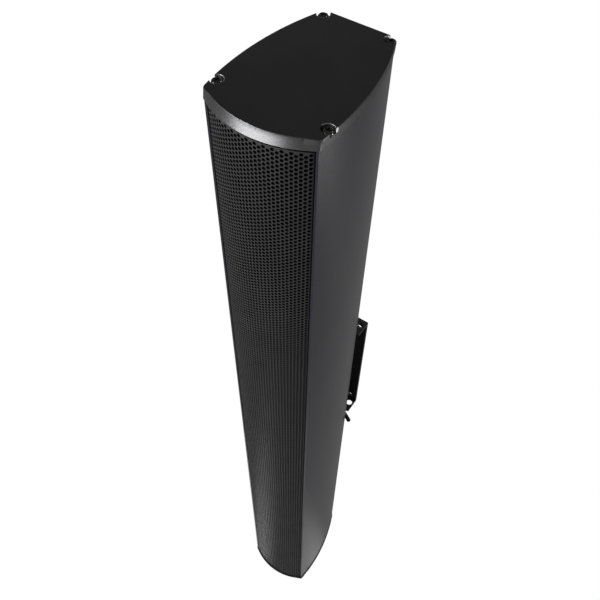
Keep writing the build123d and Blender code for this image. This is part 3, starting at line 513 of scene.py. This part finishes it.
def withNotches(outline):
    # where the outline runs inside a screw's notch it follows the notch instead, clockwise round the inner
    # side; a front notch is a round bite, a rear one is a round-ended slot that opens at the cap's corner
    line = outline
    for place in capScrewPlaces():
        isRear = place[1] > (cornerY + column["backY"]) / 2
        wayOut = np.array([math.copysign(column["backWidth"] / 2, place[0]), column["backY"]]) - place
        wayOut /= np.linalg.norm(wayOut)
        fromScrew = line - place
        away = np.linalg.norm(fromScrew, axis=1) - cap["notchRadius"]
        if isRear:
            across = np.abs(fromScrew @ np.array([-wayOut[1], wayOut[0]])) - cap["notchRadius"]
            away = np.where(fromScrew @ wayOut > 0, across, away)
        start = int(np.argmax((away < 0) & (np.roll(away, 1) >= 0)))
        line, away = np.roll(line, -start, axis=0), np.roll(away, -start)
        count = int(np.argmax(away >= 0))
        ends = []
        for inner, outer in ((0, -1), (count - 1, count)):
            share = away[outer] / (away[outer] - away[inner])
            ends.append(line[outer] + (line[inner] - line[outer]) * share)
        if isRear:
            middle = math.atan2(wayOut[1], wayOut[0])
            turns = np.linspace(middle - math.pi / 2, middle - 3 * math.pi / 2, 26)
        else:
            turnIn, turnOut = (math.atan2(*(end - place)[::-1]) for end in ends)
            turns = np.linspace(turnIn, turnOut - (2 * math.pi if turnOut > turnIn else 0), 26)[1:-1]
        arc = np.array(place) + cap["notchRadius"] * np.stack([np.cos(turns), np.sin(turns)], 1)
        isIn = (np.abs(arc[:, 0]) < sideX(arc[:, 1]) + cap["overhang"]) & (arc[:, 1] < column["backY"])
        arc, rest = (spaced(part, ends) for part in (arc[isIn], line[count:]))
        line = np.concatenate([[ends[0]], arc, [ends[1]], rest])
    return line


def spaced(part, ends):
    # the points of part that leave room for the rounded edge beside both ends of a notch
    nearest = np.min([np.linalg.norm(part - end, axis=1) for end in ends], axis=0)
    return part[nearest > cap["edge"] * cap["endRoom"]]


def inset(outline, distance):
    # every point moved inwards along the mean of its two sides' normals
    edges = np.stack([outline - np.roll(outline, 1, axis=0), np.roll(outline, -1, axis=0) - outline])
    normals = np.stack([-edges[:, :, 1], edges[:, :, 0]], 2)
    normals /= np.maximum(np.linalg.norm(normals, axis=2, keepdims=True), 1e-12)
    mean = normals.sum(0)
    mean /= np.maximum(np.linalg.norm(mean, axis=1, keepdims=True), 1e-6)
    return outline + mean * distance / np.maximum(np.sum(mean * normals[0], axis=1, keepdims=True), 0.6)


def leaning(outline, share):
    # the front arc drawn in towards its centre by a share of the slope, fading out round the corners
    towards = np.array([0, arcY]) - outline
    towards /= np.linalg.norm(towards, axis=1, keepdims=True)
    weight = np.clip((cornerY + cap["leanEnd"] - outline[:, 1]) / cap["leanFade"], 0, 1)[:, None]
    return outline + towards * weight * cap["frontSlope"] * share


def makeCap(name, node, sign):
    # stacked rings of outline points joined by quads: a full slab up to the screws' ledges, then a slab with
    # the notches cut out, whose top edge is rounded over a quarter circle
    ends = sorted(abs(corner[2]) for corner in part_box(node))
    low, height = ends[0], ends[1] - ends[0]
    full = capOutline()
    notched = withNotches(full)
    quarter = np.linspace(0, math.pi / 2, 5)
    lower = [(full, 0.0, 0.0), (full, 0.0, cap["ledge"])]
    upper = [(notched, 0.0, cap["ledge"])]
    for t in quarter:
        upper.append((notched, cap["edge"] * (1 - math.cos(t)), height - cap["edge"] * (1 - math.sin(t))))
    points, faces, finishes = [], [], []
    for slab in (lower, upper):
        count = len(slab[0][0])
        start = len(points)
        for line, inward, rise in slab:
            plan = leaning(inset(line, inward), rise / height)
            points += np.column_stack([plan, np.full(count, sign * (low + rise))]).tolist()
        rings = np.arange(start, len(points)).reshape(len(slab), count)
        here, there = rings, np.roll(rings, -1, axis=1)
        line = slab[0][0]
        fromScrews = [np.linalg.norm(line - place, axis=1) for place in capScrewPlaces()]
        # painted highlight and painted shade: the front wall gets the bright band finish, the side walls of
        # the same wall a darker paint
        finish = np.where(line[:, 1] < cornerY + cap["bandEnd"], finishSlots["band"], finishSlots["side"])
        # painted highlight: the notch wall behind each screw, where light falls on it, gets the bright rim
        # finish
        isLitFarWall = line[:, 1] > np.array(capScrewPlaces())[np.argmin(fromScrews, axis=0), 1]
        isRimHighlight = (np.min(fromScrews, axis=0) < cap["notchRadius"] * cap["rimReach"]) & isLitFarWall
        rim = np.where(isRimHighlight, finishSlots["rim"], finish)
        for k in range(len(slab) - 1):
            walls = np.stack([here[k], there[k], there[k + 1], here[k + 1]], 1)
            faces += (walls if sign > 0 else walls[:, ::-1]).tolist()
            finishes += (rim if slab is upper else finish).tolist()
        faces += [rings[0][::-sign].tolist(), rings[-1][::sign].tolist()]
        finishes += [finishSlots["top"]] * 2
    ob = meshPiece(name, points, faces, mats["cap_metal"], smooth=30)
    for finish in (capTop, shadedCapSide, paintedRimHighlight):
        ob.data.materials.append(finish)
    ob.data.polygons.foreach_set("material_index", finishes)
    ob.data.polygons.foreach_set("use_smooth", [len(face) == 4 for face in faces])
    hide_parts(node)
    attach(ob, "speaker")
    print("  ", name, len(ob.data.polygons), "faces")


makeCap("capTop", "top_cap", 1)
makeCap("capBottom", "bottom_cap", -1)
print("caps made")

# floor, light and camera
stage = {
    "floorZ": -1.5,
    "floorHalf": 14.0,
    "seenBrightness": 1.0,      # what the camera sees of floor and sky
    "castBrightness": 0.27,     # what the object gets from the floor
    "skyBrightness": 0.12,      # what the object gets from the sky
}


def seenAndCast(tree, seen, cast):
    # one brightness for the camera and another for everything the light does
    path = addNode(tree, "ShaderNodeLightPath")
    return addNode(tree, "ShaderNodeMapRange",
                   {"Value": path.outputs["Is Camera Ray"], "To Min": cast, "To Max": seen}).outputs["Result"]


def makeStage():
    half = stage["floorHalf"]
    corners = np.array([[-1, -1, 0], [1, -1, 0], [1, 1, 0], [-1, 1, 0]]) * half + [0, 0, stage["floorZ"]]
    floorMat = bpy.data.materials.new("paleFloor")
    floorMat.use_nodes = True
    tree = floorMat.node_tree
    tree.nodes.clear()
    glow = addNode(tree, "ShaderNodeEmission",
                   {"Strength": seenAndCast(tree, stage["seenBrightness"], stage["castBrightness"])})
    addNode(tree, "ShaderNodeOutputMaterial", {"Surface": glow.outputs["Emission"]})
    meshPiece("floor", corners, [[0, 1, 2, 3]], floorMat)
    world = bpy.data.worlds.new("studio")
    world.use_nodes = True
    tree = world.node_tree
    strength = seenAndCast(tree, stage["seenBrightness"], stage["skyBrightness"])
    tree.links.new(strength, tree.nodes["Background"].inputs["Strength"])
    tree.nodes["Background"].inputs["Color"].default_value = (1, 1, 1, 1)
    bpy.context.scene.world = world
    bpy.context.scene.view_settings.view_transform = "Standard"


lamps = {
    "frontStrip": {"at": (-0.62, -1.80, 0.14), "aim": (0, -0.17, 0.40), "size": (1.3, 0.42), "power": 15},
    "frontHigh": {"at": (-0.9, -1.3, 1.25), "aim": (0, -0.15, 0.5), "size": (0.3, 0.3), "power": 14},
    "rightLow": {"at": (0.2, 0.08, -1.45), "aim": (0.05, -0.16, -0.45), "size": (0.25, 0.25), "power": 0.12},
    "rightBack": {"at": (2.0, 1.1, -0.9), "aim": (0.05, -0.16, 0.45), "size": (0.3, 0.3), "power": 11},
    "leftLow": {"at": (-0.36, -0.36, -1.35), "aim": (0, -0.17, -0.4), "size": (0.3, 0.3), "power": 0.4},
    "rearFill": {"at": (-1.6, 1.9, 0.2), "aim": (0, -0.1, 0), "size": (1.2, 1.2), "power": 14},
    "glint": {"at": (0.7, 1.1, 1.6), "aim": (0, -0.1, 0.5), "size": (0.15, 0.15), "power": 4},
}


def makeLamps():
    for name, lamp in lamps.items():
        light = bpy.data.lights.new(name, "AREA")
        light.shape = "RECTANGLE"
        light.size, light.size_y = lamp["size"]
        light.energy = lamp["power"]
        ob = bpy.data.objects.new(name, light)
        bpy.context.scene.collection.objects.link(ob)
        ob.location = lamp["at"]
        towards = Vector(lamp["aim"]) - Vector(lamp["at"])
        ob.rotation_euler = towards.to_track_quat("-Z", "Y").to_euler()
        ob.visible_camera = False


lens = {"at": (0.23975, -0.47229, 0.83106), "turn": (36.643, -0.618, 34.271), "focal": 42.106, "sensor": 36.0}


def makeCamera():
    data = bpy.data.cameras.new("camera")
    data.sensor_width = lens["sensor"]
    data.lens = lens["focal"]
    ob = bpy.data.objects.new("camera", data)
    bpy.context.scene.collection.objects.link(ob)
    ob.location = lens["at"]
    ob.rotation_euler = [math.radians(a) for a in lens["turn"]]
    bpy.context.scene.camera = ob


makeStage()
makeLamps()
makeCamera()
print("stage, lamps and camera")
